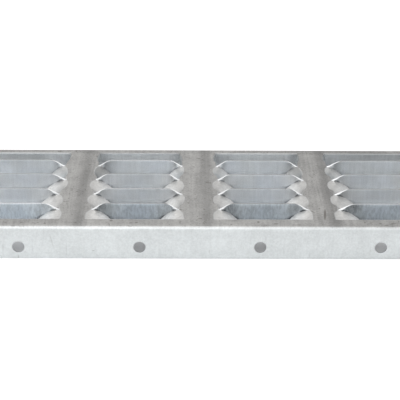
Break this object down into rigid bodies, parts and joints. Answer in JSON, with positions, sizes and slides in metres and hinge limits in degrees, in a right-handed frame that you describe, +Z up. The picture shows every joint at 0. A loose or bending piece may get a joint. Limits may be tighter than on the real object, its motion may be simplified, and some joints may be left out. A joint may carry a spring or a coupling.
{
  "type": "metal stair tread",
  "caption": "Folded steel stair tread: a shallow channel whose top is slit between plain ribs and pressed into raised louvres for grip and drainage, with fixing holes in the front skirt.",
  "frame": {"origin": "midway between the skirts and between the ends, at the height of the skirts' lower edges", "axes": "X along the tread, Y from the front skirt to the rear skirt, Z up out of the walking surface"},
  "size_m": [0.6, 0.24, 0.0485],
  "materials": {
    "galvanised_steel": "hot-dip zinc coat, dull warm grey on the trodden ribs, brighter and bluish on the louvres and skirts"
  },
  "bodies": {
    "root": {"tread": "galvanised_steel"}
  },
  "joints": []
}
